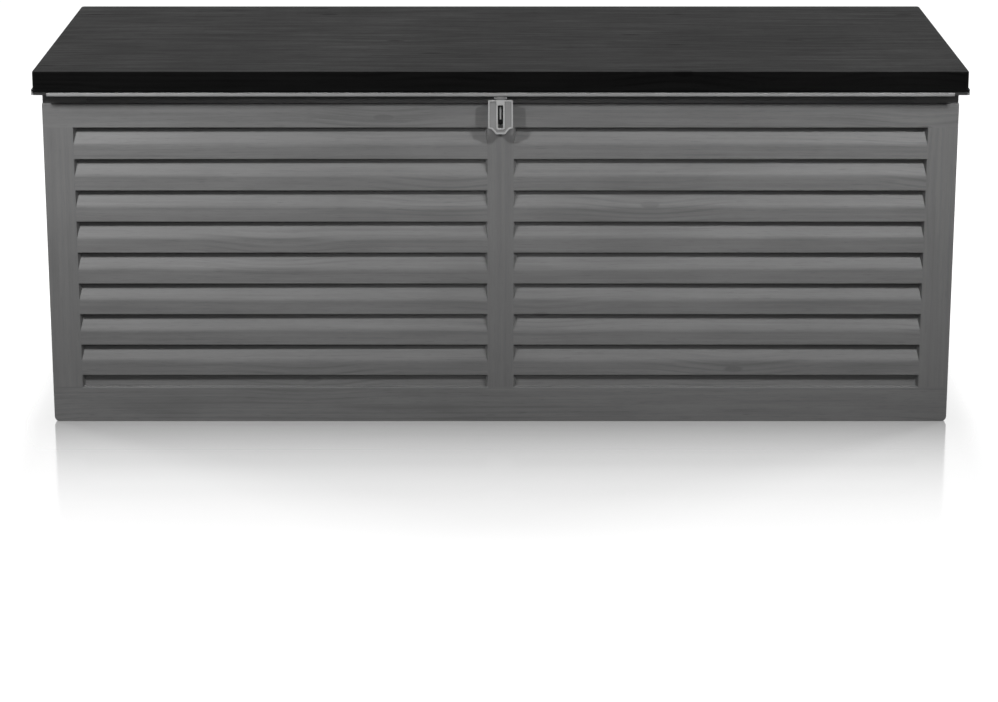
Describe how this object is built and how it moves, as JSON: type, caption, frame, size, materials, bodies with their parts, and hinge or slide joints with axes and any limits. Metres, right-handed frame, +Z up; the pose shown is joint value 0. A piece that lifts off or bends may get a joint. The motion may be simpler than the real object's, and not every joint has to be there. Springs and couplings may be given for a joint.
{
  "type": "garden storage box",
  "caption": "Louvred resin storage box for cushions and garden tools, with a hinged wood-grain lid, a padlock hasp and lid stays.",
  "frame": {"origin": "on the ground under the middle of the overall footprint", "axes": "+X along the box to the right as seen from the front, -Y out of the front, +Z up"},
  "size_m": [1.45, 0.604, 0.5672],
  "materials": {
    "lid_black": "satin moulded black polypropylene with an embossed wood grain",
    "wall_grey": "satin moulded mid-grey polypropylene",
    "rim_grey": "satin moulded light-grey polypropylene",
    "hasp_grey": "satin moulded light-grey nylon",
    "stay_black": "satin moulded black nylon",
    "zinc": "zinc-plated steel"
  },
  "bodies": {
    "box": {"corner_screws": "zinc", "floor_panel": "wall_grey", "front_panel": "wall_grey", "hinge_body_leaf_centre": "zinc", "hinge_body_leaf_left": "zinc", "hinge_body_leaf_right": "zinc", "hinge_body_screws": "zinc", "hinge_pin_centre": "zinc", "hinge_pin_left": "zinc", "hinge_pin_right": "zinc", "left_side_panel": "wall_grey", "lug_screws": "zinc", "padlock_lug": "hasp_grey", "rear_panel": "wall_grey", "right_side_panel": "wall_grey", "stay_peg_left": "zinc", "stay_peg_right": "zinc"},
    "lid": {"hasp_bracket": "hasp_grey", "hasp_pin": "zinc", "hasp_screws": "zinc", "hinge_lid_leaf_centre": "zinc", "hinge_lid_leaf_left": "zinc", "hinge_lid_leaf_right": "zinc", "hinge_lid_screws": "zinc", "lid_cover": "lid_black", "lid_liner": "rim_grey", "stay_bracket_left": "stay_black", "stay_bracket_right": "stay_black", "stay_pivot_left": "zinc", "stay_pivot_right": "zinc", "stay_screws": "zinc"},
    "hasp": {"hasp": "hasp_grey"},
    "stay_right": {"stay_arm_right": "stay_black"},
    "stay_left": {"stay_arm_left": "stay_black"}
  },
  "joints": [
    {"name": "lid_hinge", "type": "hinge", "parent": "box", "child": "lid", "pos_m": [0, 0.293, 0.519], "axis": [-1, 0, 0], "range_deg": [0, 95]},
    {"name": "hasp_hinge", "type": "hinge", "parent": "lid", "child": "hasp", "pos_m": [0, -0.2988, 0.526], "axis": [-1, 0, 0], "range_deg": [-15, 90]},
    {"name": "stay_right_pivot", "type": "hinge", "parent": "lid", "child": "stay_right", "pos_m": [0.6845, 0.0852, 0.528], "axis": [1, 0, 0], "range_deg": [0, 48]},
    {"name": "stay_left_pivot", "type": "hinge", "parent": "lid", "child": "stay_left", "pos_m": [-0.6845, 0.0852, 0.528], "axis": [1, 0, 0], "range_deg": [0, 48]}
  ],
  "couplings": [
    {"joint": "stay_right_pivot", "follows": "lid_hinge", "ratio": 0.5},
    {"joint": "stay_left_pivot", "follows": "lid_hinge", "ratio": 0.5}
  ]
}
